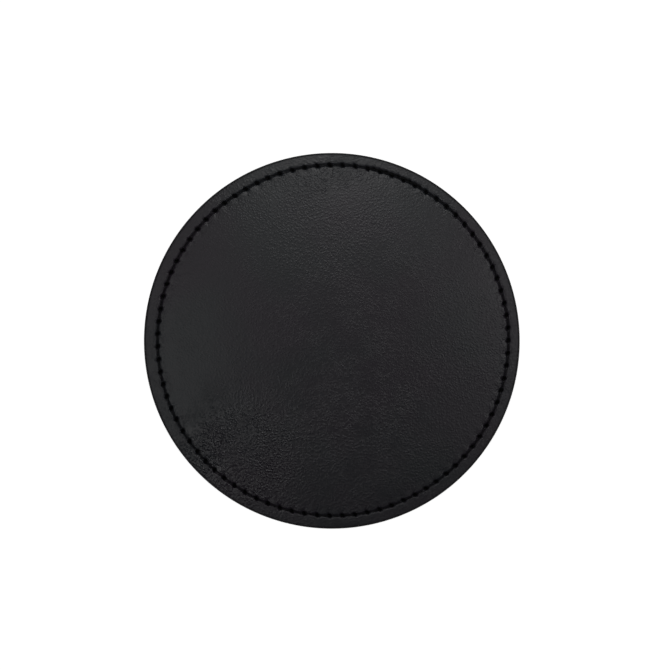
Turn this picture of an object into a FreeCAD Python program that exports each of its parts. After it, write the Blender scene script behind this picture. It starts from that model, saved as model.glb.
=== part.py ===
"""Leather dice cup, standing mouth down as it is slammed on the table: closed end up.

The row frame has its origin at the centre of the mouth rim's resting plane, +Z up through
the closed end, and the side seam of the leather wall at +Y. All sizes are in millimetres.

The cup is a sewn leather shell (a wall whose closed-end edge turns in as a flange, and a
round base sewn onto that flange) over a rolled fibreboard core, lined with velvet, and
closed at the mouth by a folded leather binding sewn through all the layers.
"""

import FreeCAD
import Part
import Sketcher

import math
import os
import re

# Driving dimensions: name, value, what it measures.
SIZES = (
    ("cup_height", 97.0, "mouth rim to the outer face of the base"),
    ("base_dia", 89.0, "round base leather"),
    ("mouth_dia", 93.0, "outside of the wall leather, carried down to the resting plane"),
    ("base_leather_thk", 1.6, "base leather"),
    ("base_edge_round", 0.5, "rounding of the base's painted edge"),
    ("edge_proud", 0.4, "how far the base stands out past the wall"),
    ("wall_leather_thk", 1.5, "wall leather"),
    ("flange_width", 8.0, "wall leather turned in under the base"),
    ("bend_radius", 2.5, "outside of the turned-in corner"),
    ("core_thk", 1.8, "rolled fibreboard tube"),
    ("board_thk", 2.0, "fibreboard disc under the flange"),
    ("pad_thk", 3.0, "sound-deadening felt under the lined floor"),
    ("floor_card_thk", 1.0, "card that the floor velvet is wrapped over"),
    ("lining_thk", 0.9, "velvet with its backing"),
    ("binding_thk", 1.0, "folded rim binding"),
    ("binding_outside", 9.0, "binding's depth on the outside"),
    ("binding_inside", 8.0, "binding's depth on the inside"),
    ("binding_round", 1.8, "rounding of the rim's two corners"),
    ("butt_gap", 0.3, "gap between the butted ends of a rolled strip"),
    ("lap_width", 10.0, "width of the wall's lapped seam"),
    ("lap_rise", 0.8, "how far the skived lap stands up"),
    ("lap_end", 0.5, "clearance where the lap is skived away at both ends"),
    ("row_spacing", 5.5, "between the lap's two rows of stitches"),
    ("row_end", 3.0, "from a row's end to the binding or the turned-in corner"),
    ("stitch_pitch", 3.0, "one stitch"),
    ("base_margin", 3.0, "base stitches to the base's edge"),
    ("rim_margin", 6.5, "rim stitches to the resting plane"),
    ("thread_dia", 0.6, "waxed thread"),
    ("thread_leg_dia", 0.5, "thread pulled tight inside a needle hole"),
    ("needle_hole_dia", 1.0, "needle hole"),
    ("base_sink", 0.65, "how deep the base thread is sunk in its groove"),
    ("surface_sink", 0.3, "how deep the rim and seam threads bed into the leather"),
    ("thread_room", 0.2, "room beside and below a thread in its groove"),
    ("glue_gap", 0.05, "glue line between two pieces"),
    ("fit_gap", 0.3, "room around a disc that drops into place"),
)
NAMES = {name for name, _, _ in SIZES}

# Heights and radii that several pieces share, as formulas of the sizes above.
FLANGE_FACE = "(cup_height - base_leather_thk - glue_gap)"
FLANGE_BACK = f"({FLANGE_FACE} - wall_leather_thk)"
BOARD_FACE = f"({FLANGE_BACK} - glue_gap)"
BOARD_BACK = f"({BOARD_FACE} - board_thk)"
PAD_FACE = f"({BOARD_BACK} - glue_gap)"
PAD_BACK = f"({PAD_FACE} - pad_thk)"
CARD_FACE = f"({PAD_BACK} - glue_gap)"
CARD_BACK = f"({CARD_FACE} - floor_card_thk)"
FLOOR_BACK = f"({CARD_BACK} - glue_gap)"
FLOOR_FACE = f"({FLOOR_BACK} - lining_thk)"
STACK_END = "(binding_thk + glue_gap)"
WALL_AT_BASE = "(base_dia / 2 - edge_proud)"
TAPER = f"((mouth_dia / 2 - {WALL_AT_BASE}) / {FLANGE_FACE})"
CORE_OUT = "(wall_leather_thk + glue_gap)"
CORE_IN = f"({CORE_OUT} + core_thk)"
LINING_OUT = f"({CORE_IN} + glue_gap)"
LINING_IN = f"({LINING_OUT} + lining_thk)"
LEG_IN = f"({LINING_IN} + glue_gap)"
RIM_IN = f"({LEG_IN} + binding_thk)"
RIM_OUT = "(-glue_gap - binding_thk)"

BASE_STITCH_RADIUS = "(base_dia / 2 - base_margin)"
BASE_STITCHES = f"round(2 * pi * {BASE_STITCH_RADIUS} / stitch_pitch)"
RIM_STITCHES = "round(pi * mouth_dia / stitch_pitch)"
ROW_START = "(binding_outside + row_end)"
ROW_LENGTH = f"({FLANGE_FACE} - bend_radius - row_end - {ROW_START})"
ROW_STITCHES = f"(round({ROW_LENGTH} / stitch_pitch) + 1)"
ROW_ALONG_WALL = f"({ROW_LENGTH} * sqrt(1 + {TAPER} ^ 2))"
ROW_ANGLE = "(row_spacing / mouth_dia * 180 / pi)"
SEAM_ANGLE = 90
# The rim stitches straddle the seam, so that no needle hole falls in a butt gap.
RIM_START = f"({SEAM_ANGLE} + 180 / {RIM_STITCHES})"
DRILL_START = "2"

doc = FreeCAD.newDocument("LeatherDiceCup")
sheet = doc.addObject("Spreadsheet::Sheet", "Sizes")
for row, (name, value, meaning) in enumerate(SIZES, start=1):
    sheet.set(f"A{row}", name)
    sheet.set(f"B{row}", str(value))
    sheet.set(f"C{row}", meaning)
    sheet.setAlias(f"B{row}", name)
doc.recompute()


def cells(formula):
    """The formula with each size's name pointing at its spreadsheet cell."""
    return re.sub(r"[a-z_]+", lambda m: "Sizes." + m[0] if m[0] in NAMES else m[0], str(formula))


def number(formula):
    return float(sheet.evalExpression(cells(formula)))


def bind(thing, prop, formula):
    thing.setExpression(prop, cells(formula))


def wall_radius(height, inset="0"):
    """Radius of the tapered wall's outside at a height, less an inset towards the axis."""
    return f"(mouth_dia / 2 - ({height}) * {TAPER} - ({inset}))"


def new_body(label):
    body = doc.addObject("PartDesign::Body", label)
    body.Label = label
    return body


def origin_feature(body, role):
    return next(f for f in body.Origin.OriginFeatures if f.Role == role)


def upright_sketch(body, name, turn=0):
    """A sketch in a plane through the Z axis, whose x runs outwards at that turn from +X."""
    sketch = body.newObject("Sketcher::SketchObject", name)
    sketch.AttachmentSupport = [(origin_feature(body, "XZ_Plane"), "")]
    sketch.MapMode = "FlatFace"
    sketch.AttachmentOffset = FreeCAD.Placement(FreeCAD.Vector(), FreeCAD.Rotation(FreeCAD.Vector(0, 1, 0), 1))
    bind(sketch, "AttachmentOffset.Rotation.Angle", turn)
    return sketch


def facing_sketch(body, name, out, turn=0):
    """A sketch that faces the Z axis from a distance, at that turn from +X. Its y is height."""
    sketch = body.newObject("Sketcher::SketchObject", name)
    sketch.AttachmentSupport = [(origin_feature(body, "YZ_Plane"), "")]
    sketch.MapMode = "FlatFace"
    sketch.AttachmentOffset = FreeCAD.Placement(FreeCAD.Vector(), FreeCAD.Rotation(FreeCAD.Vector(0, 1, 0), 1))
    bind(sketch, "AttachmentOffset.Rotation.Angle", turn)
    bind(sketch, "AttachmentOffset.Base.x", f"({out}) * sin(({turn}) * 1deg)")
    bind(sketch, "AttachmentOffset.Base.z", f"({out}) * cos(({turn}) * 1deg)")
    return sketch


def level_sketch(body, name, height):
    sketch = body.newObject("Sketcher::SketchObject", name)
    sketch.AttachmentSupport = [(origin_feature(body, "XY_Plane"), "")]
    sketch.MapMode = "FlatFace"
    bind(sketch, "AttachmentOffset.Base.z", height)
    return sketch


def hold_point(sketch, geometry, position, label, across, up):
    """Ties one point of a sketch to two formulas. A formula of 0 puts it on that axis."""
    for axis, formula, kind in ((-2, across, "DistanceX"), (-1, up, "DistanceY")):
        if formula == 0:
            sketch.addConstraint(Sketcher.Constraint("PointOnObject", geometry, position, axis))
            continue
        index = sketch.addConstraint(
            Sketcher.Constraint(kind, -1, 1, geometry, position, number(formula))
        )
        sketch.renameConstraint(index, f"{label}_{kind[-1].lower()}")
        bind(sketch, f"Constraints.{label}_{kind[-1].lower()}", formula)


def draw_outline(sketch, points):
    """A closed outline of straight lines through the points, each point held by its formulas."""
    corners = [FreeCAD.Vector(number(x), number(y), 0) for x, y in points]
    for start, end in zip(corners, corners[1:] + corners[:1]):
        sketch.addGeometry(Part.LineSegment(start, end), False)
    for i in range(len(points)):
        sketch.addConstraint(Sketcher.Constraint("Coincident", i - 1 if i else len(points) - 1, 2, i, 1))
    for i, (x, y) in enumerate(points):
        hold_point(sketch, i, 1, f"p{i}", x, y)


def draw_circle(sketch, across, up, diameter):
    centre = FreeCAD.Vector(number(across), number(up), 0)
    axis = FreeCAD.Vector(0, 0, 1)
    sketch.addGeometry(Part.Circle(centre, axis, number(diameter) / 2), False)
    hold_point(sketch, 0, 3, "centre", across, up)
    index = sketch.addConstraint(Sketcher.Constraint("Diameter", 0, number(diameter)))
    sketch.renameConstraint(index, "size")
    bind(sketch, "Constraints.size", diameter)


def draw_thread(sketch, across, up):
    """A waxed thread's section, pressed to eight flat sides."""
    corners = [22.5 + 45 * i for i in range(8)]
    draw_outline(
        sketch,
        [
            (f"({across} + thread_dia / 2 * cos({a}deg))", f"({up} + thread_dia / 2 * sin({a}deg))")
            for a in corners
        ],
    )


def turned(body, name, draw, kind="Revolution", angle="360", turn=0):
    """Turns a sketch about the Z axis, to add material (Revolution) or cut it (Groove)."""
    sketch = upright_sketch(body, name + "_sketch", turn)
    draw(sketch)
    feature = body.newObject(f"PartDesign::{kind}", name)
    feature.Profile = (sketch, [""])
    feature.ReferenceAxis = (sketch, ["V_Axis"])
    feature.Midplane = angle != "360"
    bind(feature, "Angle", angle)
    doc.recompute()
    return feature


def turned_outline(body, name, points, **how):
    return turned(body, name, lambda sketch: draw_outline(sketch, points), **how)


def straight(body, name, sketch, kind, length, reverse=False):
    """Pads a sketch along its normal, or pockets it the other way."""
    feature = body.newObject(f"PartDesign::{kind}", name)
    feature.Profile = (sketch, [""])
    feature.Reversed = reverse
    bind(feature, "Length", length)
    doc.recompute()
    return feature


def repeated(body, original, count, row=None):
    """The feature's copies: evenly round the Z axis, or along a row of that length."""
    pattern = body.newObject(f"PartDesign::{'LinearPattern' if row else 'PolarPattern'}", original.Name + "_row")
    pattern.Originals = [original]
    if row:
        pattern.Direction = (origin_feature(body, "Z_Axis"), [""])
        bind(pattern, "Length", row)
    else:
        pattern.Axis = (origin_feature(body, "Z_Axis"), [""])
        pattern.Angle = 360
    bind(pattern, "Occurrences", count)
    body.Tip = pattern
    doc.recompute()
    return pattern


def rounded(body, name, rings, radius):
    """Fillets the body's circular edges at the given radii and heights."""
    found = []
    for i, edge in enumerate(body.Shape.Edges, start=1):
        if not isinstance(edge.Curve, Part.Circle):
            continue
        for ring, height in rings:
            near_ring = abs(edge.Curve.Radius - number(ring)) < 1e-3
            if near_ring and abs(edge.Curve.Center.z - number(height)) < 1e-3:
                found.append(f"Edge{i}")
    if not found:
        raise ValueError(f"{name} found no edge to round")
    fillet = body.newObject("PartDesign::Fillet", name)
    fillet.Base = (body.Group[-2], found)
    bind(fillet, "Radius", radius)
    doc.recompute()
    return fillet


def cone_strip(near, far, outside, inside):
    """Outline of a tapered strip between two heights, from an outer to an inner inset."""
    return [
        (wall_radius(near, outside), near),
        (wall_radius(far, outside), far),
        (wall_radius(far, inside), far),
        (wall_radius(near, inside), near),
    ]


def disc_outline(radius, back, face):
    return [(0, back), (radius, back), (radius, face), (0, face)]


def needle_holes(body, name, count, height, start, depth, turn, row=None):
    """Needle holes drilled towards the axis, round the cup or along a seam row."""
    sketch = facing_sketch(body, name + "_sketch", start, turn)
    draw_circle(sketch, 0, height, "needle_hole_dia")
    hole = straight(body, name, sketch, "Pocket", depth)
    return repeated(body, hole, count, row)


def rim_holes(body):
    outside = wall_radius("rim_margin", f"{RIM_OUT} - {DRILL_START}")
    depth = f"({RIM_IN} - {RIM_OUT} + 2 * {DRILL_START})"
    needle_holes(body, "rim_needle_hole", RIM_STITCHES, "rim_margin", outside, depth, RIM_START)


def closed_ring_angle(inset):
    """Angle of a rolled strip whose two ends butt together with a small gap."""
    return f"(360 - butt_gap / {wall_radius(0, inset)} * 180 / pi)"


def base_leather():
    """Round leather with a sunk stitch line near its edge and a needle hole for each stitch."""
    body = new_body("base_leather")
    back = "(cup_height - base_leather_thk)"
    turned_outline(body, "base_disc", disc_outline("base_dia / 2", back, "cup_height"))
    edges = [("base_dia / 2", "cup_height"), ("base_dia / 2", back)]
    rounded(body, "base_edge", edges, "base_edge_round")
    half = "(thread_dia + thread_room) / 2"
    groove = [
        (f"{BASE_STITCH_RADIUS} - {half}", "cup_height - base_sink - thread_room / 2"),
        (f"{BASE_STITCH_RADIUS} + {half}", "cup_height - base_sink - thread_room / 2"),
        (f"{BASE_STITCH_RADIUS} + {half}", "cup_height + 1"),
        (f"{BASE_STITCH_RADIUS} - {half}", "cup_height + 1"),
    ]
    turned_outline(body, "base_stitch_groove", groove, kind="Groove")
    sketch = level_sketch(body, "base_needle_hole_sketch", "cup_height + 1")
    draw_circle(sketch, BASE_STITCH_RADIUS, 0, "needle_hole_dia")
    hole = straight(body, "base_needle_hole", sketch, "Pocket", "base_leather_thk + 2")
    repeated(body, hole, BASE_STITCHES)
    return body


def wall_leather():
    """Leather strip rolled to a tapered tube, lapped at the seam, its base edge turned in."""
    body = new_body("wall_leather")
    outline = [
        (wall_radius(STACK_END), STACK_END),
        (wall_radius(FLANGE_FACE), FLANGE_FACE),
        (f"{WALL_AT_BASE} - flange_width", FLANGE_FACE),
        (f"{WALL_AT_BASE} - flange_width", FLANGE_BACK),
        (wall_radius(FLANGE_BACK, "wall_leather_thk"), FLANGE_BACK),
        (wall_radius(STACK_END, "wall_leather_thk"), STACK_END),
    ]
    turned_outline(body, "wall_strip", outline)
    rounded(body, "wall_bend", [(WALL_AT_BASE, FLANGE_FACE)], "bend_radius")
    inner = [(wall_radius(FLANGE_BACK, "wall_leather_thk"), FLANGE_BACK)]
    rounded(body, "wall_bend_inside", inner, "bend_radius - wall_leather_thk")
    near = "(binding_outside + lap_end)"
    far = f"({FLANGE_FACE} - bend_radius - lap_end)"
    turned_outline(
        body,
        "seam_lap",
        cone_strip(near, far, "-lap_rise", "wall_leather_thk / 2"),
        angle="lap_width / mouth_dia * 360 / pi",
        turn=SEAM_ANGLE,
    )
    sketch = level_sketch(body, "flange_needle_hole_sketch", FLANGE_FACE + " + 1")
    draw_circle(sketch, BASE_STITCH_RADIUS, 0, "needle_hole_dia")
    hole = straight(body, "flange_needle_hole", sketch, "Pocket", "wall_leather_thk + 2")
    repeated(body, hole, BASE_STITCHES)
    rim_holes(body)
    outside = wall_radius(0, f"-lap_rise - {DRILL_START}")
    depth = f"(lap_rise + wall_leather_thk + 2 * {DRILL_START} + {FLANGE_FACE} * {TAPER})"
    for side, sign in (("left", 1), ("right", -1)):
        turn = f"({SEAM_ANGLE} + {sign} * {ROW_ANGLE})"
        name = f"seam_needle_hole_{side}"
        needle_holes(body, name, ROW_STITCHES, ROW_START, outside, depth, turn, row=ROW_LENGTH)
    return body


def core_tube():
    """Fibreboard rolled to a tapered tube, dented outside where the seam threads press."""
    body = new_body("core_tube")
    turned_outline(
        body,
        "core_strip",
        cone_strip(STACK_END, PAD_FACE, CORE_OUT, CORE_IN),
        angle=closed_ring_angle(CORE_OUT),
        turn=SEAM_ANGLE + 180,
    )
    start = f"({ROW_START} - stitch_pitch)"
    end = f"({ROW_START} + {ROW_LENGTH} + stitch_pitch)"
    dent = "(thread_dia + thread_room + glue_gap)"
    for side, sign in (("left", 1), ("right", -1)):
        turned_outline(
            body,
            f"seam_thread_dent_{side}",
            cone_strip(start, end, "0", f"wall_leather_thk + {dent}"),
            kind="Groove",
            angle=f"({dent} / mouth_dia * 360 / pi)",
            turn=f"({SEAM_ANGLE} + {sign} * {ROW_ANGLE})",
        )
    rim_holes(body)
    return body


def lining_wall():
    """Velvet glued to the inside of the core, its ends butted at the seam."""
    body = new_body("lining_wall")
    turned_outline(
        body,
        "lining_strip",
        cone_strip(STACK_END, f"({PAD_BACK} - glue_gap)", LINING_OUT, LINING_IN),
        angle=closed_ring_angle(LINING_OUT),
        turn=SEAM_ANGLE + 180,
    )
    rim_holes(body)
    return body


def rim_binding():
    """Leather strip folded over the ends of wall, core and lining, its ends butted."""
    body = new_body("rim_binding")
    outline = [
        (wall_radius(0, RIM_OUT), 0),
        (wall_radius("binding_outside", RIM_OUT), "binding_outside"),
        (wall_radius("binding_outside", "-glue_gap"), "binding_outside"),
        (wall_radius("binding_thk", "-glue_gap"), "binding_thk"),
        (wall_radius("binding_thk", LEG_IN), "binding_thk"),
        (wall_radius("binding_inside", LEG_IN), "binding_inside"),
        (wall_radius("binding_inside", RIM_IN), "binding_inside"),
        (wall_radius(0, RIM_IN), 0),
    ]
    angle = closed_ring_angle(RIM_OUT)
    turned_outline(body, "binding_strip", outline, angle=angle, turn=SEAM_ANGLE + 180)
    corners = [(wall_radius(0, RIM_OUT), 0), (wall_radius(0, RIM_IN), 0)]
    rounded(body, "binding_fold", corners, "binding_round")
    half = "(thread_dia + thread_room) / 2"
    bed = "(surface_sink + thread_room / 2)"
    near, far = f"(rim_margin - {half})", f"(rim_margin + {half})"
    outer_bed = cone_strip(near, far, f"{RIM_OUT} - 1", f"{RIM_OUT} + {bed}")
    inner_bed = cone_strip(near, far, f"{RIM_IN} - {bed}", f"{RIM_IN} + 1")
    turned_outline(body, "outer_thread_bed", outer_bed, kind="Groove")
    turned_outline(body, "inner_thread_bed", inner_bed, kind="Groove")
    rim_holes(body)
    return body


def filler_card():
    """Card that fills the flange's hollow, so that the base leather lies flat."""
    body = new_body("filler_card")
    radius = f"({WALL_AT_BASE} - flange_width - fit_gap)"
    turned_outline(body, "filler_disc", disc_outline(radius, FLANGE_BACK, FLANGE_FACE))
    return body


def base_board():
    """Fibreboard disc that stiffens the closed end, dented where the base thread presses."""
    body = new_body("base_board")
    radius = wall_radius(BOARD_FACE, CORE_OUT)
    turned_outline(body, "board_disc", disc_outline(radius, BOARD_BACK, BOARD_FACE))
    easing = "bend_radius - wall_leather_thk + glue_gap"
    rounded(body, "board_edge", [(radius, BOARD_FACE)], easing)
    half = "(thread_dia + thread_room) / 2"
    dent = [
        (f"{BASE_STITCH_RADIUS} - {half}", f"{FLANGE_BACK} - thread_dia - thread_room / 2"),
        (f"{BASE_STITCH_RADIUS} + {half}", f"{FLANGE_BACK} - thread_dia - thread_room / 2"),
        (f"{BASE_STITCH_RADIUS} + {half}", FLANGE_FACE),
        (f"{BASE_STITCH_RADIUS} - {half}", FLANGE_FACE),
    ]
    turned_outline(body, "thread_dent", dent, kind="Groove")
    return body


def floor_pad():
    """Felt disc that deadens the dice's sound, under the lined floor."""
    body = new_body("floor_pad")
    radius = wall_radius(PAD_FACE, f"{CORE_IN} + glue_gap")
    turned_outline(body, "pad_disc", disc_outline(radius, PAD_BACK, PAD_FACE))
    return body


def floor_card():
    """Card disc inside the lined floor."""
    body = new_body("floor_card")
    radius = wall_radius(CARD_FACE, f"{LINING_IN} + lining_thk + 2 * glue_gap")
    turned_outline(body, "card_disc", disc_outline(radius, CARD_BACK, CARD_FACE))
    return body


def lining_floor():
    """Velvet over the floor card, wrapped round its edge."""
    body = new_body("lining_floor")
    outer = wall_radius(CARD_FACE, f"{LINING_IN} + glue_gap")
    inner = f"({outer} - lining_thk)"
    outline = [
        (0, FLOOR_FACE),
        (outer, FLOOR_FACE),
        (outer, CARD_FACE),
        (inner, CARD_FACE),
        (inner, FLOOR_BACK),
        (0, FLOOR_BACK),
    ]
    turned_outline(body, "floor_velvet", outline)
    rounded(body, "floor_velvet_edge", [(outer, FLOOR_FACE)], "lining_thk / 2")
    return body


def base_thread(label, height, reach, up):
    """A sewn thread round the base: the ring that runs along the leather, and a leg in each
    needle hole, as far as the point where it locks with the other thread."""
    body = new_body(label)
    radius = BASE_STITCH_RADIUS
    turned(body, label + "_ring", lambda sketch: draw_thread(sketch, radius, height))
    sketch = level_sketch(body, label + "_leg_sketch", height)
    draw_circle(sketch, radius, 0, "thread_leg_dia")
    leg = straight(body, label + "_leg", sketch, "Pad", reach, reverse=not up)
    repeated(body, leg, BASE_STITCHES)
    return body


def rim_thread(label, inset, reach, inwards):
    """A sewn thread round the mouth, with a leg in each needle hole to the lock point."""
    body = new_body(label)
    radius = wall_radius("rim_margin", inset)
    turned(body, label + "_ring", lambda sketch: draw_thread(sketch, radius, "rim_margin"))
    sketch = facing_sketch(body, label + "_leg_sketch", radius, RIM_START)
    draw_circle(sketch, 0, "rim_margin", "thread_leg_dia")
    leg = straight(body, label + "_leg", sketch, "Pad", reach, reverse=inwards)
    repeated(body, leg, RIM_STITCHES)
    return body


def seam_thread(label, inset, reach, inwards, sign):
    """A sewn thread along the lap, modelled on its own Z and then laid along the wall."""
    body = new_body(label)
    run_sketch = level_sketch(body, label + "_run_sketch", "-stitch_pitch / 2")
    draw_thread(run_sketch, 0, 0)
    straight(body, label + "_run", run_sketch, "Pad", f"{ROW_ALONG_WALL} + stitch_pitch")
    sketch = body.newObject("Sketcher::SketchObject", label + "_leg_sketch")
    sketch.AttachmentSupport = [(origin_feature(body, "YZ_Plane"), "")]
    sketch.MapMode = "FlatFace"
    draw_circle(sketch, 0, 0, "thread_leg_dia")
    leg = straight(body, label + "_leg", sketch, "Pad", reach, reverse=inwards)
    repeated(body, leg, ROW_STITCHES, row=ROW_ALONG_WALL)
    turn = SEAM_ANGLE + sign * number(ROW_ANGLE)
    lean = -math.degrees(math.atan(number(TAPER)))
    radius = number(wall_radius(ROW_START, inset))
    across, along = radius * math.cos(math.radians(turn)), radius * math.sin(math.radians(turn))
    turning = FreeCAD.Rotation(FreeCAD.Vector(0, 0, 1), turn)
    leaning = FreeCAD.Rotation(FreeCAD.Vector(0, 1, 0), lean)
    spot = FreeCAD.Vector(across, along, number(ROW_START))
    body.Placement = FreeCAD.Placement(spot, turning.multiply(leaning))
    return body


def threads():
    """The needle thread and the bobbin thread of every seam."""
    lock = f"({FLANGE_FACE} + glue_gap / 2)"
    needle = "(cup_height - base_sink + thread_dia / 2)"
    bobbin = f"({FLANGE_BACK} - thread_dia / 2)"
    made = [
        base_thread("base_needle_thread", needle, f"({needle} - {lock})", up=False),
        base_thread("base_bobbin_thread", bobbin, f"({lock} - {bobbin})", up=True),
    ]
    bed = "(surface_sink - thread_dia / 2)"
    needle, bobbin = f"({RIM_OUT} + {bed})", f"({RIM_IN} - {bed})"
    reach = f"(({bobbin} - {needle}) / 2)"
    made.append(rim_thread("rim_needle_thread", needle, reach, inwards=True))
    made.append(rim_thread("rim_bobbin_thread", bobbin, reach, inwards=False))
    needle, bobbin = "(-lap_rise - thread_dia / 2)", "(wall_leather_thk + thread_dia / 2)"
    reach = f"(({bobbin} - {needle}) / 2)"
    for side, sign in (("left", 1), ("right", -1)):
        made.append(seam_thread(f"seam_needle_thread_{side}", needle, reach, True, sign))
        made.append(seam_thread(f"seam_bobbin_thread_{side}", bobbin, reach, False, sign))
    return made


def check(bodies):
    """Stops the build if any feature failed or any piece isn't sound solid material."""
    for thing in doc.Objects:
        if {"Invalid", "Error"} & set(thing.State):
            raise ValueError(f"{thing.Name} failed: {thing.State}")
    for body in bodies:
        shape = body.Shape
        if shape.isNull() or not shape.isValid() or not shape.Solids:
            raise ValueError(f"{body.Label} is not a valid solid")
        if shape.Volume <= 0:
            raise ValueError(f"{body.Label} has no volume")


bodies = [
    base_leather(),
    wall_leather(),
    core_tube(),
    lining_wall(),
    rim_binding(),
    filler_card(),
    base_board(),
    floor_pad(),
    floor_card(),
    lining_floor(),
    *threads(),
]
doc.recompute()
check(bodies)
os.makedirs("parts", exist_ok=True)
for body in bodies:
    body.Shape.exportStep(f"parts/{body.Label}.step")
    print(f"{body.Label}: {len(body.Shape.Solids)} solid, {body.Shape.Volume:.1f} mm3")
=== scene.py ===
import math

import bmesh
import bpy
from mathutils import Matrix, Vector, noise


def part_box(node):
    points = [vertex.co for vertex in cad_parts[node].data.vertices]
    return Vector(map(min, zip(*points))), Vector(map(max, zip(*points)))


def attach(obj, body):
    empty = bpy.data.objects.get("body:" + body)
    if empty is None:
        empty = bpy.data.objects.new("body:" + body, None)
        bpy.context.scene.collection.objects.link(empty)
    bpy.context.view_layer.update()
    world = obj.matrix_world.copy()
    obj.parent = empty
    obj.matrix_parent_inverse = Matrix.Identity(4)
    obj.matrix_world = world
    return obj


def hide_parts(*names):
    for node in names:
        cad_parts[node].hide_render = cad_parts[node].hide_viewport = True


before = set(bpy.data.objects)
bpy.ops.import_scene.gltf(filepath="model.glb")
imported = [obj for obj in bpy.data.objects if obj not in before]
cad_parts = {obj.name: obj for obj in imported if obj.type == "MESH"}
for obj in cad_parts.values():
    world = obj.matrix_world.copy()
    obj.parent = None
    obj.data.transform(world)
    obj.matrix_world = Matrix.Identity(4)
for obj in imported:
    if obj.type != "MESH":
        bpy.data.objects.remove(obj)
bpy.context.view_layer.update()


# The stiffening: a tube rolled from fibreboard and a fibreboard disc, hidden between the
# leather and the lining. Pressed from waste fibre, so they are brown and flecked.

def add_node(tree, kind, inputs=None, **settings):
    """Adds a shader node, with each input in the table linked to a socket or given a value."""
    made = tree.nodes.new("ShaderNode" + kind)
    for name, value in settings.items():
        setattr(made, name, value)
    for key, value in (inputs or {}).items():
        if isinstance(value, bpy.types.NodeSocket):
            tree.links.new(value, made.inputs[key])
        else:
            made.inputs[key].default_value = value
    return made


def new_effect(name, inputs, outputs):
    """A shader group with its own named inputs (with their starting values) and outputs."""
    group = bpy.data.node_groups.new(name, "ShaderNodeTree")
    for label, value in inputs.items():
        kind = "NodeSocketFloat" if isinstance(value, float) else "NodeSocketVector"
        socket = group.interface.new_socket(label, in_out="INPUT", socket_type=kind)
        socket.default_value = value
    for label in outputs:
        group.interface.new_socket(label, in_out="OUTPUT", socket_type="NodeSocketFloat")
    given = group.nodes.new("NodeGroupInput").outputs
    return group, given, group.nodes.new("NodeGroupOutput").inputs


def new_material(name, **values):
    """A material with values set on its shader's own sockets. Object coordinates come with it."""
    material = bpy.data.materials.new(name)
    material.use_nodes = True
    tree = material.node_tree
    shader = tree.nodes["Principled BSDF"]
    for label, value in values.items():
        shader.inputs[label.replace("_", " ")].default_value = value
    return material, tree, shader, tree.nodes.new("ShaderNodeTexCoord").outputs["Object"]


def effect_in(tree, group, inputs):
    """Places a shader group in a material, with its own values."""
    made = tree.nodes.new("ShaderNodeGroup")
    made.node_tree = group
    for key, value in inputs.items():
        if isinstance(value, bpy.types.NodeSocket):
            tree.links.new(value, made.inputs[key])
        else:
            made.inputs[key].default_value = value
    return made.outputs


def blended(tree, factor, first, second):
    """A colour that goes from the first to the second as the factor goes from 0 to 1."""
    mix = add_node(tree, "Mix", data_type="RGBA")
    tree.links.new(factor, mix.inputs[0])
    for socket, colour in ((mix.inputs[6], first), (mix.inputs[7], second)):
        if isinstance(colour, bpy.types.NodeSocket):
            tree.links.new(colour, socket)
        else:
            socket.default_value = (*colour, 1)
    return mix.outputs[2]


def ranged(tree, value, low, high, start=0.0, end=1.0):
    """The value carried from one range to another, eased at both ends."""
    inputs = {"Value": value, "From Min": start, "From Max": end, "To Min": low, "To Max": high}
    return add_node(tree, "MapRange", inputs, interpolation_type="SMOOTHSTEP").outputs["Result"]


def worked_out(tree, operation, first, second):
    """Two values put together by one of the Math node's operations."""
    return add_node(tree, "Math", {0: first, 1: second}, operation=operation).outputs[0]


def raised(tree, shader, height, depth_mm):
    """Raises a surface by a height mask, to a depth in millimetres."""
    bump = add_node(tree, "Bump", {"Height": height, "Distance": depth_mm / 1000})
    tree.links.new(bump.outputs["Normal"], shader.inputs["Normal"])


fibres, given, result = new_effect(
    "Fibre flecks", {"Vector": (0.0, 0.0, 0.0), "Fleck mm": 0.5}, ("Flecks", "Mottle")
)
grain_scale = worked_out(fibres, "DIVIDE", 1000.0, given["Fleck mm"])
streaks = {"Vector": given["Vector"], "Scale": grain_scale, "Detail": 4.0, "Roughness": 0.7}
streaks = add_node(fibres, "TexNoise", {**streaks, "Distortion": 1.5})
clouds = add_node(fibres, "TexNoise", {"Vector": given["Vector"], "Scale": 70.0, "Detail": 3.0})
fibres.links.new(ranged(fibres, streaks.outputs["Fac"], 0.0, 1.0, 0.38, 0.66), result["Flecks"])
fibres.links.new(ranged(fibres, clouds.outputs["Fac"], 0.0, 1.0, 0.35, 0.68), result["Mottle"])


def pressed_board(name, pale, dark, fleck_mm):
    """Board pressed from fibres: flecked, mottled and matt, with a slightly felted skin."""
    material, tree, shader, spot = new_material(name, Roughness=0.9)
    flecks = effect_in(tree, fibres, {"Vector": spot, "Fleck mm": fleck_mm})
    clouded = blended(tree, flecks["Mottle"], pale, [c * 0.8 for c in pale])
    tree.links.new(blended(tree, flecks["Flecks"], clouded, dark), shader.inputs["Base Color"])
    raised(tree, shader, flecks["Flecks"], 0.05)
    return material


def finish_node(node, material):
    """Gives a CAD node that stays in the model its material."""
    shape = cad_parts[node]
    shape.data.materials.clear()
    shape.data.materials.append(material)


fibreboard = pressed_board("Fibreboard", (0.27, 0.19, 0.12), (0.12, 0.075, 0.045), 0.5)
finish_node("core_tube", fibreboard)
finish_node("base_board", fibreboard)


# The wall: one strip of dark pebbled leather rolled round the tube, lapped at the back and
# sewn there in two rows. The upper end of the lap is cut square, the lower end skived thin.

def corners(node):
    """A CAD node's lowest and highest corners, in millimetres."""
    return [Vector(corner) * 1000 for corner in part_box(node)]


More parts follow.
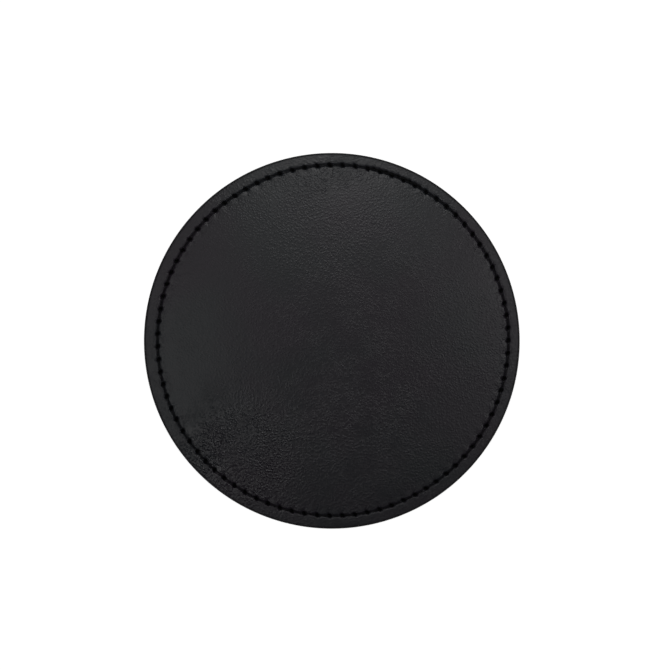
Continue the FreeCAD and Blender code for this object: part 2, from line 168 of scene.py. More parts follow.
def turned(outline, sectors, start=0.0, closed=True):
    """Turns an outline of (radius, height) points about the cup's axis, sector by sector. A
    sector has its angle, its number of strips and the steps in a strip: one strip is spun,
    then repeated. A seam's sector can be finer than the rest."""
    bm = bmesh.new()
    kinds = (bm.verts, bm.edges, bm.faces)
    for angle, strips, steps in sectors:
        made = [len(kind) for kind in kinds]
        direction = Vector((math.cos(start), math.sin(start), 0))
        points = [bm.verts.new(direction * radius + Vector((0, 0, z))) for radius, z in outline]
        ends = zip(points, points[1:] + points[:1]) if closed else zip(points, points[1:])
        chain = points + [bm.edges.new(pair) for pair in ends]
        about = {"cent": (0, 0, 0), "axis": (0, 0, 1)}
        bmesh.ops.spin(bm, geom=chain, angle=angle / strips, steps=steps, **about)
        strip = [item for kind, count in zip(kinds, made) for item in list(kind)[count:]]
        rest = angle - angle / strips
        bmesh.ops.spin(bm, geom=strip, angle=rest, steps=strips - 1, use_duplicate=True, **about)
        start += angle
    bmesh.ops.remove_doubles(bm, verts=bm.verts, dist=0.001)
    bmesh.ops.recalc_face_normals(bm, faces=bm.faces)
    bm.normal_update()
    return bm


def shaped(bm, move, looseness=None):
    """Moves every point along its own normal. move gives the distance and how deep in a
    needle hole, groove or joint the point is: the leather paints this 'dent' dark as shade.
    looseness gives how open the leather's grain is there, which it reads as 'loose'."""
    dent = bm.verts.layers.float.new("dent")
    loose = bm.verts.layers.float.new("loose")
    moves = [(vert, vert.normal.copy(), *move(vert.co, vert.normal)) for vert in bm.verts]
    for vert, normal, distance, depth in moves:
        vert[loose] = looseness(vert.co) if looseness else 1.0
        vert.co += normal * distance
        vert[dent] = depth


def finished(name, bm, material, slot, *nodes):
    """Makes the mesh a piece of the cup, at its real size, in place of its CAD nodes."""
    bmesh.ops.scale(bm, vec=(0.001,) * 3, verts=bm.verts)
    mesh = bpy.data.meshes.new(name)
    bm.to_mesh(mesh)
    bm.free()
    mesh.shade_smooth()
    mesh.materials.append(material)
    piece = bpy.data.objects.new(name, mesh)
    bpy.context.scene.collection.objects.link(piece)
    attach(piece, "root")
    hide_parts(*nodes)
    return piece


def stretch(start, end, step):
    """Evenly spaced heights or radii from start to end, about a step apart."""
    count = max(1, round(abs(end - start) / step))
    return [start + (end - start) * i / count for i in range(count + 1)]


def bow(centre, radius, first, last, steps=6):
    """Points of an arc between two angles in degrees."""
    angles = [math.radians(first + (last - first) * i / steps) for i in range(steps + 1)]
    return [(centre[0] + radius * math.cos(a), centre[1] + radius * math.sin(a)) for a in angles]


def sway(point, size_mm, seed):
    """Smooth unevenness from -1 to 1, over stretches of the given size."""
    return noise.noise(point / size_mm + Vector((seed * 7.3, seed * 3.1, seed * 5.7)))


def sewn(along, across, pitch, pucker_in=0.1, pucker_out=0.1, hole=1.0):
    """Height of leather beside a stitch line and how deep it is pulled. along is measured from
    the nearest needle hole, across from the line, and is positive towards the free edge."""
    tension = math.cos(math.pi * along / pitch) ** 2
    groove = 0.22 * math.exp(-((across / 0.26) ** 4))
    from_hole = ((across + 0.04) / 0.43) ** 2 + ((along - 0.3 * across) / 0.42) ** 2
    pit = hole * math.exp(-(from_hole**1.8))
    pucker = pucker_in if across < 0 else pucker_out
    ridge = math.exp(-(((abs(across) - 0.95) / 0.6) ** 2))
    # The second value, how deep it is pulled, is the dent that the leather paints dark as shade.
    return pucker * ridge * (1 - 1.7 * tension) - groove - pit, min(1.0, 1.1 * groove + pit)


def nearest_hole(position, pitch, phase=0.0):
    """Signed distance to the nearest needle hole of a row, and that hole's number."""
    number = round(position / pitch - phase)
    return position - (number + phase) * pitch, number


grain_inputs = {"Vector": (0.0, 0.0, 0.0), "Pebble mm": 0.45, "Loose": 1.0}
grain, given, result = new_effect("Leather grain", grain_inputs, ("Height", "Valleys", "Mottle"))
scale = worked_out(grain, "DIVIDE", 1000.0, given["Pebble mm"])
spread = add_node(grain, "VectorMath", {0: given["Vector"], "Scale": scale}, operation="SCALE").outputs[0]
warp = add_node(grain, "TexNoise", {"Vector": spread, "Scale": 0.55, "Detail": 2.0}).outputs["Color"]
warp = add_node(grain, "VectorMath", {0: warp, 1: (0.5, 0.5, 0.5)}, operation="SUBTRACT").outputs[0]
warp = add_node(grain, "VectorMath", {0: warp, "Scale": 0.9}, operation="SCALE").outputs[0]
bent = add_node(grain, "VectorMath", {0: spread, 1: warp}, operation="ADD").outputs[0]
cells = add_node(grain, "TexVoronoi", {"Vector": bent, "Scale": 1.0}, feature="F1")
pebbles = ranged(grain, cells.outputs["Distance"], 1.0, 0.0, 0.08, 0.72)
folds = add_node(grain, "TexNoise", {"Vector": bent, "Scale": 0.38, "Detail": 2.0, "Roughness": 0.5})
folds = ranged(grain, folds.outputs["Fac"], 0.0, 1.0, 0.32, 0.68)
crumbs = add_node(grain, "TexNoise", {"Vector": bent, "Scale": 3.2, "Detail": 2.0, "Roughness": 0.6})
crumbs = crumbs.outputs["Fac"]
looseness = add_node(grain, "TexNoise", {"Vector": spread, "Scale": 0.08, "Detail": 2.0}).outputs["Fac"]
looseness = worked_out(grain, "MULTIPLY", ranged(grain, looseness, 0.6, 1.0, 0.38, 0.62), given["Loose"])
height = worked_out(grain, "ADD", pebbles, worked_out(grain, "MULTIPLY", folds, 0.07))
height = worked_out(grain, "ADD", height, worked_out(grain, "MULTIPLY", crumbs, 0.45))
grain.links.new(worked_out(grain, "MULTIPLY", height, looseness), result["Height"])
# Valleys: the dips between the pebbles. The leather darkens them as painted shade and also makes them duller.
valleys = worked_out(grain, "SUBTRACT", 1.0, pebbles)
shadowed = worked_out(grain, "MINIMUM", looseness, 0.5)
grain.links.new(worked_out(grain, "MULTIPLY", valleys, shadowed), result["Valleys"])
mottle = {"Vector": given["Vector"], "Scale": 42.0, "Detail": 3.0, "Roughness": 0.5}
mottle = add_node(grain, "TexNoise", mottle)
grain.links.new(ranged(grain, mottle.outputs["Fac"], 0.0, 1.0, 0.34, 0.68), result["Mottle"])


def grained_leather(name, warm, cool, pebble_mm, depth_mm, roughness):
    """Finished leather, mottled between two nearly black dyes, with painted shade between the
    pebbles and inside the needle holes, and dull where sewing has pulled it in."""
    material, tree, shader, spot = new_material(name, Specular_IOR_Level=0.45)
    loose = add_node(tree, "Attribute", attribute_name="loose").outputs["Fac"]
    dent = add_node(tree, "Attribute", attribute_name="dent").outputs["Fac"]
    skin = effect_in(tree, grain, {"Vector": spot, "Pebble mm": pebble_mm, "Loose": loose})
    body = blended(tree, skin["Mottle"], warm, cool)
    # Painted shade: the colour is darkened in the valleys between the pebbles.
    body = blended(tree, worked_out(tree, "MULTIPLY", skin["Valleys"], 0.5), body, [c * 0.35 for c in cool])
    # Painted shade: the colour goes near black where the leather is dented, in needle holes, stitch grooves,
    # at the foot of the lap's edge and at the binding's butted joint.
    body = blended(tree, ranged(tree, dent, 0.0, 0.97, 0.08, 0.6), body, [c * 0.06 for c in cool])
    tree.links.new(body, shader.inputs["Base Color"])
    dullness = ranged(tree, skin["Valleys"], roughness, roughness + 0.13)
    dullness = worked_out(tree, "SUBTRACT", dullness, ranged(tree, loose, 0.0, 0.19, 0.3, 0.9))
    dullness = worked_out(tree, "ADD", dullness, worked_out(tree, "MULTIPLY", dent, 0.35))
    tree.links.new(dullness, shader.inputs["Roughness"])
    raised(tree, shader, skin["Height"], depth_mm)
    return material


warm_dye, cool_dye = (0.0200, 0.0146, 0.0226), (0.0142, 0.0168, 0.0206)
wall_leather = grained_leather("Wall leather", warm_dye, cool_dye, 0.50, 0.085, 0.42)

low, high = corners("wall_leather")
base_low, base_high = corners("base_leather")
base_radius = base_high.x
wall_foot, wall_top = low.z, high.z
wall_thickness, turned_in, bend, edge_proud = 1.5, 8.0, 2.5, 0.4
foot_radius, top_radius = high.x, base_radius - edge_proud
seam = math.radians(90)


def wall_radius(height, inset=0.0):
    share = (height - wall_foot) / (wall_top - wall_foot)
    return foot_radius + (top_radius - foot_radius) * share - inset


stitch_spacing = 3
row_low, row_high = corners("seam_needle_thread_left")
first_hole, last_hole = row_low.z + stitch_spacing / 2, row_high.z - stitch_spacing / 2
seam_holes = round((last_hole - first_hole) / stitch_spacing) + 1
seam_pitch = (last_hole - first_hole) / (seam_holes - 1)
row_offset = abs(row_low.x + row_high.x) / 2
lap_half, lap_rise = 5.0, 0.6
lap_low, lap_high = 9.5, wall_top - bend - 0.5


def eased(value, start, end):
    share = min(1.0, max(0.0, (value - start) / (end - start)))
    return share * share * (3 - 2 * share)


def lap_height(arc, height):
    """How far the lap stands up: a square-cut edge on one side, skived thin on the other. It is
    pressed thin again where the wall turns in."""
    across = eased(arc, -lap_half - 3.5, -lap_half + 2.0) * (1 - eased(arc, lap_half - 0.35, lap_half))
    pressed = 0.7 * eased(height, lap_high - 7, lap_high - 1)
    pressed += 0.3 * eased(height, lap_high - 1, lap_high + 1.5)
    return lap_rise * across * eased(height, lap_low - 2.5, lap_low) * (1 - pressed)


def wall_move(point, normal):
    radius = math.hypot(point.x, point.y)
    outside = radius > wall_radius(point.z) - 0.3 or (point.z > wall_top - bend and normal.z > -0.2)
    if not outside:
        return 0.0, 0.0
    arc = (seam - math.atan2(point.y, point.x)) * radius
    distance = 0.10 * sway(point, 26, 1) + 0.035 * sway(point, 7, 2)
    corner = eased(point.z, wall_top - 5.5, wall_top - 1.2) * (1 - eased(point.z, wall_top - 0.6, wall_top))
    pleats = math.sin(61 * math.atan2(point.y, point.x) + 5 * sway(point, 9, 3))
    distance += corner * 0.11 * pleats
    depth = 0.0
    if abs(arc) < lap_half + 6 and point.z < wall_top - 0.5:
        distance += lap_height(arc, point.z)
        if first_hole - 2 < point.z < last_hole + 2:
            for side in (-1, 1):
                number = min(seam_holes - 1, max(0, round((point.z - first_hole) / seam_pitch)))
                along = point.z - first_hole - number * seam_pitch
                ends = eased(point.z, first_hole - 0.9, first_hole - 0.2)
                ends *= 1 - eased(point.z, last_hole + 0.2, last_hole + 0.9)
                lift, dent = sewn(along, side * arc - row_offset, seam_pitch, 0.06, 0.08)
                distance += ends * lift
                depth = max(depth, ends * dent)
        # Painted shade: the foot of the lap's square-cut edge is given dent depth, which the leather darkens.
        cut = math.exp(-(((arc - lap_half - 0.12) / 0.2) ** 2))
        cut *= eased(point.z, lap_low, lap_low + 1) * (1 - eased(point.z, lap_high - 1, lap_high))
        depth = max(depth, 0.8 * cut)
    return distance, depth


flange_back = wall_top - wall_thickness
outline = [(wall_radius(z), z) for z in stretch(wall_foot, lap_low - 2, 1.6)[:-1]]
outline += [(wall_radius(z), z) for z in stretch(lap_low - 2, wall_top - bend, 0.36)[:-1]]
outline += bow((top_radius - bend, wall_top - bend), bend, 0, 90, 10)
outline += [(r, wall_top) for r in stretch(top_radius - bend, top_radius - turned_in, 1.4)[1:]]
outline += [(top_radius - turned_in, flange_back)]
outline += bow((top_radius - bend, wall_top - bend), bend - wall_thickness, 90, 0, 4)
outline += [(wall_radius(z, wall_thickness), z) for z in stretch(wall_top - bend, wall_foot, 12)[1:]]
fine = math.radians(30)
bm = turned(outline, ((2 * math.pi - fine, 11, 12), (fine, 8, 9)), start=seam + fine / 2)
shaped(bm, wall_move)
finished("wall", bm, wall_leather, "shell_leather", "wall_leather")


# The side seam's thread: waxed three-ply, sewn through the lap in two rows by hand. Only
# the outside runs show. The runs inside lie pressed between the leather and the tube.

thread_width = 0.54
thread_black, tree, shader, spot = new_material("Waxed thread", Specular_IOR_Level=0.2)
hairs = effect_in(tree, fibres, {"Vector": spot, "Fleck mm": 0.16})
waxed = blended(tree, hairs["Flecks"], (0.003, 0.003, 0.0035), (0.010, 0.010, 0.011))
tree.links.new(waxed, shader.inputs["Base Color"])
tree.links.new(ranged(tree, hairs["Mottle"], 0.55, 0.7), shader.inputs["Roughness"])
raised(tree, shader, hairs["Flecks"], 0.03)
for node in ("seam_bobbin_thread_left", "seam_bobbin_thread_right", "base_bobbin_thread"):
    finish_node(node, thread_black)


def points_of(geometry):
    return [item for item in geometry if isinstance(item, bmesh.types.BMVert)]


def stitch(bm, length, width):
    """One stitch of twisted thread: up out of a needle hole, along X, and down into the next."""
    rise = ((-0.43, -1.1), (-0.42, -0.6), (-0.35, -0.18), (-0.20, 0.02))
    path = rise + tuple((-share, height) for share, height in reversed(rise))
    tilts = (2, 12, 48, 78, 102, 132, 168, 178)
    twist = math.radians(38)
    ring = bmesh.ops.create_circle(bm, segments=6, radius=width / 2)["verts"]
    for vert in ring[::2]:
        vert.co *= 0.74
    poses = []
    for i, ((share, height), tilt) in enumerate(zip(path, tilts)):
        place = Matrix.Translation((share * length, 0, height))
        lean = Matrix.Rotation(math.radians(tilt), 4, "Y")
        poses.append(place @ lean @ Matrix.Rotation(twist * i, 4, "Z"))
    bmesh.ops.transform(bm, matrix=poses[0], verts=ring)
    made = list(ring)
    edges = list(bm.edges)
    bmesh.ops.contextual_create(bm, geom=edges)
    for before, after in zip(poses, poses[1:]):
        grown = bmesh.ops.extrude_edge_only(bm, edges=edges)["geom"]
        verts = points_of(grown)
        edges = [item for item in grown if isinstance(item, bmesh.types.BMEdge)]
        edges = [edge for edge in edges if all(vert in verts for vert in edge.verts)]
        bmesh.ops.transform(bm, matrix=after @ before.inverted(), verts=verts)
        made += verts
    bmesh.ops.contextual_create(bm, geom=edges)
    return made


def standing(spot, out, across):
    """A place on a surface: Z out of it, Y across the row, X along it."""
    out, across = out.normalized(), across.normalized()
    along = across.cross(out)
    turn = Matrix((along, across, out)).transposed().to_4x4()
    return Matrix.Translation(spot) @ turn


def stitched(places, length, width):
    """A row of stitches, one at each place."""
    bm = bmesh.new()
    pattern = stitch(bm, length, width)
    faces = list(bm.faces)
    for place in places:
        copy = bmesh.ops.duplicate(bm, geom=pattern + faces)["geom"]
        bmesh.ops.transform(bm, matrix=place, verts=points_of(copy))
    bmesh.ops.delete(bm, geom=pattern, context="VERTS")
    bmesh.ops.recalc_face_normals(bm, faces=bm.faces)
    return bm


for side, name in ((-1, "left"), (1, "right")):
    places = []
    for i in range(seam_holes - 1):
        height = first_hole + (i + 0.5) * seam_pitch
        radius = wall_radius(height)
        angle = seam - side * row_offset / radius
        out = Vector((math.cos(angle), math.sin(angle), 0))
        depth = radius + lap_height(side * row_offset, height) - 0.12
        depth += 0.05 * sway(Vector((i, side, 0)), 1.7, 4)
        along = Vector((0, 0, 1))
        places.append(standing(out * depth + along * height, out, out.cross(along) * side))
    bm = stitched(places, seam_pitch, thread_width)
    finished(f"seam_stitches_{name}", bm, thread_black, "thread", f"seam_needle_thread_{name}")


# The cards: a disc that fills the hollow inside the wall's turned-in edge, and the disc that
# the floor's lining is wrapped over. Both are cut from grey sheet pressed from waste paper.

grey_card = pressed_board("Grey card", (0.36, 0.34, 0.30), (0.17, 0.16, 0.15), 0.35)
finish_node("filler_card", grey_card)
finish_node("floor_card", grey_card)


# The closed end: a disc of the same leather, 1.6 mm thick, sewn down round its edge onto the
# turned-in wall. The edge is rounded and painted, and each stitch pulls the leather in.

thread_high = corners("base_needle_thread")[1]
thread_thickness = 0.6
stitch_radius = thread_high.x - thread_thickness / 2
base_stitches = round(2 * math.pi * stitch_radius / stitch_spacing)
base_pitch = 2 * math.pi * stitch_radius / base_stitches
base_top, base_back = base_high.z, base_low.z
tack_start, tack_end = math.radians(60), math.radians(78)
tight_spots = ((118, 0.18), (-60, 0.16))
base_leather = grained_leather("Base leather", warm_dye, cool_dye, 0.54, 0.115, 0.37)


def wander(point):
    """The hand-held stitch line wanders a little off its circle. Far from the line nothing moves."""
    radius = math.hypot(point.x, point.y)
    near = max(0.0, 1 - ((radius - stitch_radius) / (2.7 if radius > stitch_radius else 5.0)) ** 2)
    angle = math.atan2(point.y, point.x)
    wobble = 0.09 * noise.noise(Vector((math.cos(angle), math.sin(angle), 0)) * 5.0)
    for middle, pulled in tight_spots:
        wobble -= pulled * math.exp(-(((math.degrees(angle) - middle) / 14) ** 2))
    drift = Vector((0.27, 0.10, 0)) + Vector((math.cos(angle), math.sin(angle), 0)) * wobble
    return drift * near


def crown(radius):
    """The sewing pulls the leather down all round, which leaves the disc a little crowned."""
    if radius > stitch_radius:
        return -0.16
    return 0.16 - 0.32 * (radius / stitch_radius) ** 2.6


def base_move(point, normal):
    if normal.z < -0.3 or point.z < base_back + 0.3:
        return 0.0, 0.0
    radius = math.hypot(point.x, point.y)
    angle = math.atan2(point.y, point.x)
    across = radius - stitch_radius
    inner = 1 - eased(radius, stitch_radius - 1, stitch_radius + 2)
    distance = crown(radius) + inner * (0.07 * sway(point, 21, 5) + 0.015 * sway(point, 6, 6))
    distance -= 0.05 * math.exp(-((across / (2.2 if across < 0 else 0.5)) ** 2))
    distance += 0.008 * sway(point, 2.4, 7)
    depth = 0.0
    if abs(across) < 3.2:
        along, number = nearest_hole(angle * stitch_radius, base_pitch)
        along += 0.16 * noise.noise(Vector((number * 1.9, 0.4, 0)))
        strength = 1 + 0.35 * noise.noise(Vector((number * 2.7, 8.1, 0)))
        lift, depth = sewn(along, across, base_pitch, 0.045 * strength, 0.01, hole=1.05)
        distance += lift
        if tack_start < angle < tack_end:
            along, number = nearest_hole(angle * stitch_radius, base_pitch, 0.5)
            lift, extra = sewn(along, across - 0.25, base_pitch, 0.05, 0.05, hole=0.6)
            distance += 0.6 * lift
            depth = max(depth, 0.8 * extra)
    return distance, depth


hide_patches = (
    (-28, 8, 18, -0.16), (-23, -27, 14, 0.66), (8, -24, 20, 0.2), (26, 16, 15, -0.08), (-2, 40, 6, 0.2)
)


def base_looseness(point):
    """A hide isn't even: its grain is tight and smooth in some places and open in others. Each
    patch has its middle, its size and how much looser it is."""
    loose = 0.3
    for x, y, size, change in hide_patches:
        loose += change * math.exp(-(((point.x - x) ** 2 + (point.y - y) ** 2) / size**2))
    return max(0.03, loose)


rounding = 0.62
outline = [(0.0, base_top)]
outline += [(r, base_top) for r in (3, 8, 13, 18, 22, 26, 29, 31.5, 33.5, 35, 36.2, 37.2, 38.0, 38.6, 39.1)]
outline += [(r, base_top) for r in stretch(39.5, stitch_radius - 0.5, 0.22)]
outline += [(r, base_top) for r in stretch(stitch_radius - 0.36, stitch_radius + 0.48, 0.12)]
outline += [(r, base_top) for r in stretch(stitch_radius + 0.7, base_radius - rounding, 0.3)[:-1]]
outline += bow((base_radius - rounding, base_top - rounding), rounding, 90, 0, 6)
outline += bow((base_radius - 0.4, base_back + 0.4), 0.4, 0, -90, 3)
outline += [(r, base_back) for r in (stitch_radius, 30, 15)]
outline += [(0.0, base_back)]
bm = turned(outline, ((2 * math.pi, base_stitches, 12),), closed=False)
shaped(bm, base_move, base_looseness)
for vert in bm.verts:
    vert.co += wander(vert.co)
# The outer edge band: the edge's real black coating, darkened further as painted shade for a dark outline at
# the rim.
edge_paint_and_shade_layer = bm.verts.layers.float.new("painted")
for vert in bm.verts:
    beyond = math.hypot(vert.co.x, vert.co.y) - (base_radius - 0.75)
    vert[edge_paint_and_shade_layer] = eased(beyond, 0.0, 0.5)
finished("closed_end", bm, base_leather, "shell_leather", "base_leather")

tree = base_leather.node_tree
shader = tree.nodes["Principled BSDF"]
# Edge coating and painted shade: the band's colour goes darker, and its roughness goes higher.
edge_paint_and_shade = add_node(tree, "Attribute", attribute_name="painted").outputs["Fac"]
bare = shader.inputs["Base Color"].links[0].from_socket
tree.links.new(blended(tree, edge_paint_and_shade, bare, (0.010, 0.010, 0.011)), shader.inputs["Base Color"])
dullness = shader.inputs["Roughness"].links[0].from_socket
dullness = worked_out(tree, "ADD", dullness, worked_out(tree, "MULTIPLY", edge_paint_and_shade, 0.45))
tree.links.new(dullness, shader.inputs["Roughness"])


# The base thread: 87 stitches round the closed end, sunk in their groove, with a short
# doubled back-tack where the sewing began and ended.

places = []
for i in range(base_stitches):
    angle = (i + 0.5) * base_pitch / stitch_radius
    out = Vector((math.cos(angle), math.sin(angle), 0))
    sunk = base_top - 0.60 + 0.06 * noise.noise(Vector((i * 1.3, 2, 0)))
    spot = out * (stitch_radius + 0.02) + Vector((0, 0, sunk))
    spin = Matrix.Rotation(0.05 * noise.noise(Vector((i * 2.1, 5, 0))), 4, "Z")
    places.append(standing(spot + wander(spot), Vector((0, 0, 1)), out) @ spin)
for i in range(base_stitches):
    angle = i * base_pitch / stitch_radius
    if not tack_start < angle < tack_end:
        continue
    out = Vector((math.cos(angle), math.sin(angle), 0))
    spot = out * (stitch_radius + 0.3) + Vector((0, 0, base_top - 0.38))
    places.append(standing(spot + wander(spot), Vector((0, 0, 1)), out) @ Matrix.Rotation(0.07, 4, "Z"))
bm = stitched(places, base_pitch, thread_width)
finished("base_stitches", bm, thread_black, "thread", "base_needle_thread")


# The felt under the lined floor: a soft grey disc, punched from needled felt, that deadens
# the sound of the dice. Its punched edge is slightly furry and rounded over.

felt, tree, shader, spot = new_material("Grey felt", Roughness=0.95, Sheen_Weight=0.4, Sheen_Roughness=0.6)
wool = effect_in(tree, fibres, {"Vector": spot, "Fleck mm": 0.4})
wool_grey = blended(tree, wool["Flecks"], (0.24, 0.24, 0.245), (0.11, 0.11, 0.115))
tree.links.new(wool_grey, shader.inputs["Base Color"])
raised(tree, shader, wool["Flecks"], 0.15)
low, high = corners("floor_pad")
radius, soft = high.x, 0.8
outline = [(0.0, high.z)] + [(r, high.z) for r in stretch(4, radius - soft - 1, 3)]
outline += bow((radius - soft, high.z - soft), soft, 90, 0, 5)
outline += bow((radius - soft, low.z + soft), soft, 0, -90, 5)
outline += [(r, low.z) for r in stretch(radius - soft - 1, 4, 3)] + [(0.0, low.z)]
bm = turned(outline, ((2 * math.pi, 10, 12),), closed=False)
shaped(bm, lambda point, normal: (-0.06 - 0.05 * sway(point, 5, 8), 0.0))
pad = finished("sound_pad", bm, felt, "felt", "floor_pad")


# The lining: short dark red velvet, wrapped over a card for the floor and glued to the tube
# as one strip for the wall, with its two ends butted at the seam.

velvet, tree, shader, spot = new_material(
    "Dark red velvet", Roughness=0.9, Sheen_Weight=1.0, Sheen_Roughness=0.35, Sheen_Tint=(0.75, 0.12, 0.14, 1)
)
pile = effect_in(tree, fibres, {"Vector": spot, "Fleck mm": 0.25})
nap = blended(tree, pile["Mottle"], (0.15, 0.010, 0.018), (0.075, 0.004, 0.009))
tree.links.new(blended(tree, pile["Flecks"], nap, (0.045, 0.002, 0.005)), shader.inputs["Base Color"])
raised(tree, shader, pile["Flecks"], 0.1)

low, high = corners("lining_floor")
radius, cloth, wrap = high.x, 0.9, 0.55
outline = [(0.0, low.z)] + [(r, low.z) for r in stretch(3, radius - wrap - 0.6, 1.2)]
outline += bow((radius - wrap, low.z + wrap), wrap, -90, 0, 5)
outline += [(radius, high.z), (radius - cloth, high.z), (radius - cloth, low.z + cloth)]
outline += [(r, low.z + cloth) for r in stretch(radius - cloth - 1, 3, 4)] + [(0.0, low.z + cloth)]
bm = turned(outline, ((2 * math.pi, 12, 15),), closed=False)


def floor_move(point, normal):
    return (0.05 * sway(point, 8, 9) + 0.02 * sway(point, 2, 10)) * (normal.z < -0.5), 0.0


shaped(bm, floor_move)
floor_lining = finished("floor_velvet", bm, velvet, "velvet", "lining_floor")

low, high = corners("lining_wall")
tube_gap = 3.4
mid_cloth = tube_gap + cloth / 2
lining_radius = 41
outline = [(wall_radius(z, tube_gap), z) for z in stretch(low.z, high.z, 8)]
outline += [(wall_radius(z, tube_gap + cloth), z) for z in stretch(high.z, low.z, 1.5)]
bm = turned(outline, ((2 * math.pi, 20, 15),), start=seam)


def lining_move(point, normal):
    radius = math.hypot(point.x, point.y)
    inside = radius < wall_radius(point.z, mid_cloth)
    arc = (seam - math.atan2(point.y, point.x)) * lining_radius
    joint = math.exp(-((arc / 0.6) ** 2))
    return inside * (0.05 * sway(point, 9, 11) - 0.35 * joint), inside * 0.8 * joint


shaped(bm, lining_move)
wall_lining = finished("wall_velvet", bm, velvet, "velvet", "lining_wall")


# The mouth's binding: a strip of thinner leather folded over the ends of wall, tube and
# lining, its two ends butted at the seam, and sewn right through near its edge.

binding_leather = grained_leather("Binding leather", warm_dye, cool_dye, 0.38, 0.06, 0.40)
needle_low, needle_high = corners("rim_needle_thread")
rim_line = (needle_low.z + needle_high.z) / 2
outer_leg, inner_leg, binding, fold = 9.0, 8.0, 1.0, 1.8
outer_face, inner_face = -1.05, 5.35
mouth_across = 93
rim_stitches = round(math.pi * mouth_across / stitch_spacing)
rim_turn = 2 * math.pi / rim_stitches
rim_phase = seam + rim_turn / 2


def rim_move(point, normal):
    radius = math.hypot(point.x, point.y)
    angle = math.atan2(point.y, point.x)
    outside = radius > wall_radius(point.z, outer_face + 0.5)
    inside = radius < wall_radius(point.z, inner_face - 0.5)
    if not outside and not inside and point.z > 0.5:
        return 0.0, 0.0
    along, number = nearest_hole((angle - rim_phase) * radius, rim_turn * radius)
    along += 0.12 * noise.noise(Vector((number * 1.7, 3.3, 0)))
    below = rim_line - point.z
    distance, depth = 0.04 * sway(point, 8, 12) + 0.02 * sway(point, 2.5, 13), 0.0
    if outside or inside:
        lift, depth = sewn(along, below, rim_turn * radius, 0.05, 0.09, hole=0.75)
        distance += lift
        distance += 0.12 * math.exp(-(((below - 3.2) / 1.6) ** 2))
    distance -= 0.06 * (point.z < 1.0)
    # Painted shade at the binding's butted joint: besides the dip, the joint gets full dent depth, which the
    # leather darkens.
    arc = (seam - angle) * radius
    joint = math.exp(-((arc / 0.22) ** 2))
    return distance - 0.45 * joint, max(depth, joint)


outline = bow((wall_radius(outer_leg, outer_face) - 0.35, outer_leg - 0.35), 0.35, 90, 0, 3)
outline += [(wall_radius(z, outer_face), z) for z in stretch(outer_leg - 0.8, rim_line + 0.9, 0.4)]
outline += [(wall_radius(z, outer_face), z) for z in stretch(rim_line + 0.6, rim_line - 0.6, 0.15)]
outline += [(wall_radius(z, outer_face), z) for z in stretch(rim_line - 0.95, fold + 0.3, 0.5)]
outline += bow((wall_radius(fold, outer_face + fold), fold), fold, 0, -90, 8)
outline += [(wall_radius(0, outer_face + fold + 1.4), 0.0)]
outline += bow((wall_radius(fold, inner_face - fold), fold), fold, -90, -180, 8)
outline += [(wall_radius(z, inner_face), z) for z in stretch(fold + 0.3, rim_line - 0.95, 0.5)]
outline += [(wall_radius(z, inner_face), z) for z in stretch(rim_line - 0.6, rim_line + 0.6, 0.15)]
outline += [(wall_radius(inner_leg - 0.3, inner_face), inner_leg - 0.3)]
outline += bow((wall_radius(inner_leg, inner_face - 0.35), inner_leg - 0.35), 0.35, 150, 90, 2)
outline += [(wall_radius(inner_leg, inner_face - binding), inner_leg)]
outline += [(wall_radius(binding, inner_face - binding), binding)]
outline += [(wall_radius(binding, outer_face + binding), binding)]
outline += [(wall_radius(outer_leg, outer_face + binding), outer_leg)]
bm = turned(outline, ((2 * math.pi, rim_stitches, 9),), start=seam)
shaped(bm, rim_move)
finished("mouth_binding", bm, binding_leather, "binding_leather", "rim_binding")


# The rim thread: the same waxed thread, sewn right through binding, wall, tube and lining, so
# it shows as a run of stitches on both sides of the binding.

for name, face, way in (("needle", outer_face, 1), ("bobbin", inner_face, -1)):
    places = []
    for i in range(rim_stitches):
        angle = rim_phase + (i + 0.5) * rim_turn
        out = Vector((math.cos(angle), math.sin(angle), 0))
        radius = wall_radius(rim_line, face + way * 0.2)
        places.append(standing(out * radius + Vector((0, 0, rim_line)), out * way, Vector((0, 0, -1))))
    bm = stitched(places, rim_turn * radius, thread_width)
    finished(f"rim_stitches_{name}", bm, thread_black, "thread", f"rim_{name}_thread")


# Where it stands: mouth down on a plain white floor, with soft lamps near it, a dim room round
# it and a camera straight above the closed end.

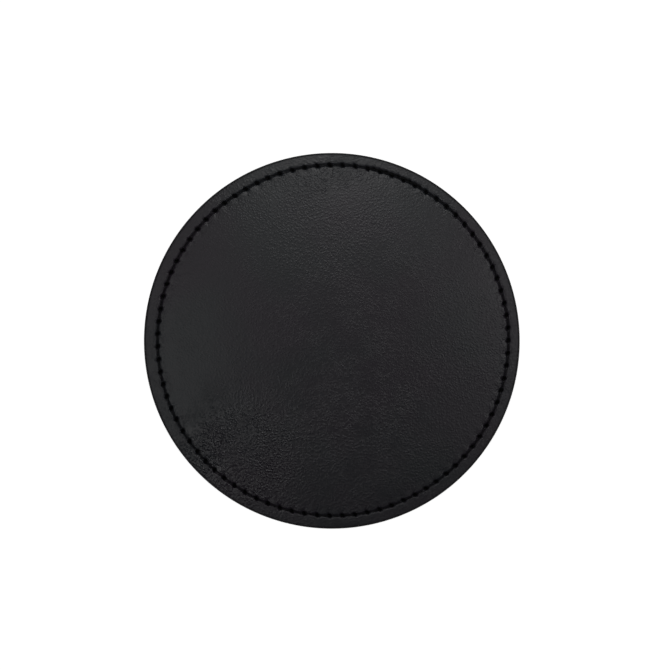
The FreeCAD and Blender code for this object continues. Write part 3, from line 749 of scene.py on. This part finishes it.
bm = bmesh.new()
bmesh.ops.create_grid(bm, x_segments=1, y_segments=1, size=1.5)
mesh = bpy.data.meshes.new("floor")
bm.to_mesh(mesh)
bm.free()
floor = bpy.data.objects.new("floor", mesh)
bpy.context.scene.collection.objects.link(floor)
white, tree, shader, spot = new_material("White floor", Roughness=0.7, Emission_Strength=0.97)
shader.inputs["Emission Color"].default_value = (1, 1, 1, 1)
shader.inputs["Base Color"].default_value = (0.86, 0.86, 0.86, 1)
mesh.materials.append(white)

world = bpy.data.worlds.new("Studio")
world.use_nodes = True
bpy.context.scene.world = world
tree = world.node_tree
sky = tree.nodes["Background"]
seen = add_node(tree, "LightPath").outputs["Is Camera Ray"]
way_up = add_node(tree, "SeparateXYZ", {0: add_node(tree, "TexCoord").outputs["Generated"]}).outputs["Z"]
room = blended(tree, ranged(tree, way_up, 0.0, 1.0, 0.1, 0.5), (0.15, 0.15, 0.153), (0.013, 0.013, 0.0137))
tree.links.new(blended(tree, seen, room, (1.0, 1.0, 1.0)), sky.inputs["Color"])


def lamp(name, spot, size, power, aim=(0, 0, 0.097)):
    """A soft square lamp, turned towards the cup."""
    light = bpy.data.lights.new(name, "AREA")
    light.shape = "SQUARE"
    light.size = size
    light.energy = power
    made = bpy.data.objects.new(name, light)
    made.location = spot
    made.rotation_euler = (Vector(spot) - Vector(aim)).to_track_quat("Z", "Y").to_euler()
    made.visible_camera = False
    bpy.context.scene.collection.objects.link(made)


lamp("back_lamp", (0.0, 0.078, 0.240), 0.035, 0.039)
lamp("left_lamp", (-0.070, 0.0, 0.280), 0.045, 0.018)
lamp("right_lamp", (0.076, 0.015, 0.245), 0.035, 0.020)
lamp("front_left_lamp", (-0.060, -0.050, 0.250), 0.035, 0.011)
lamp("front_right_lamp", (0.060, -0.046, 0.250), 0.035, 0.005)

eye = bpy.data.cameras.new("eye")
eye.sensor_width = 36
eye.lens = 136.62
camera = bpy.data.objects.new("eye", eye)
camera.location = (0.00075, 0.00138, base_top / 1000 + 0.6)
bpy.context.scene.collection.objects.link(camera)
bpy.context.scene.camera = camera
bpy.context.scene.view_settings.view_transform = "Standard"
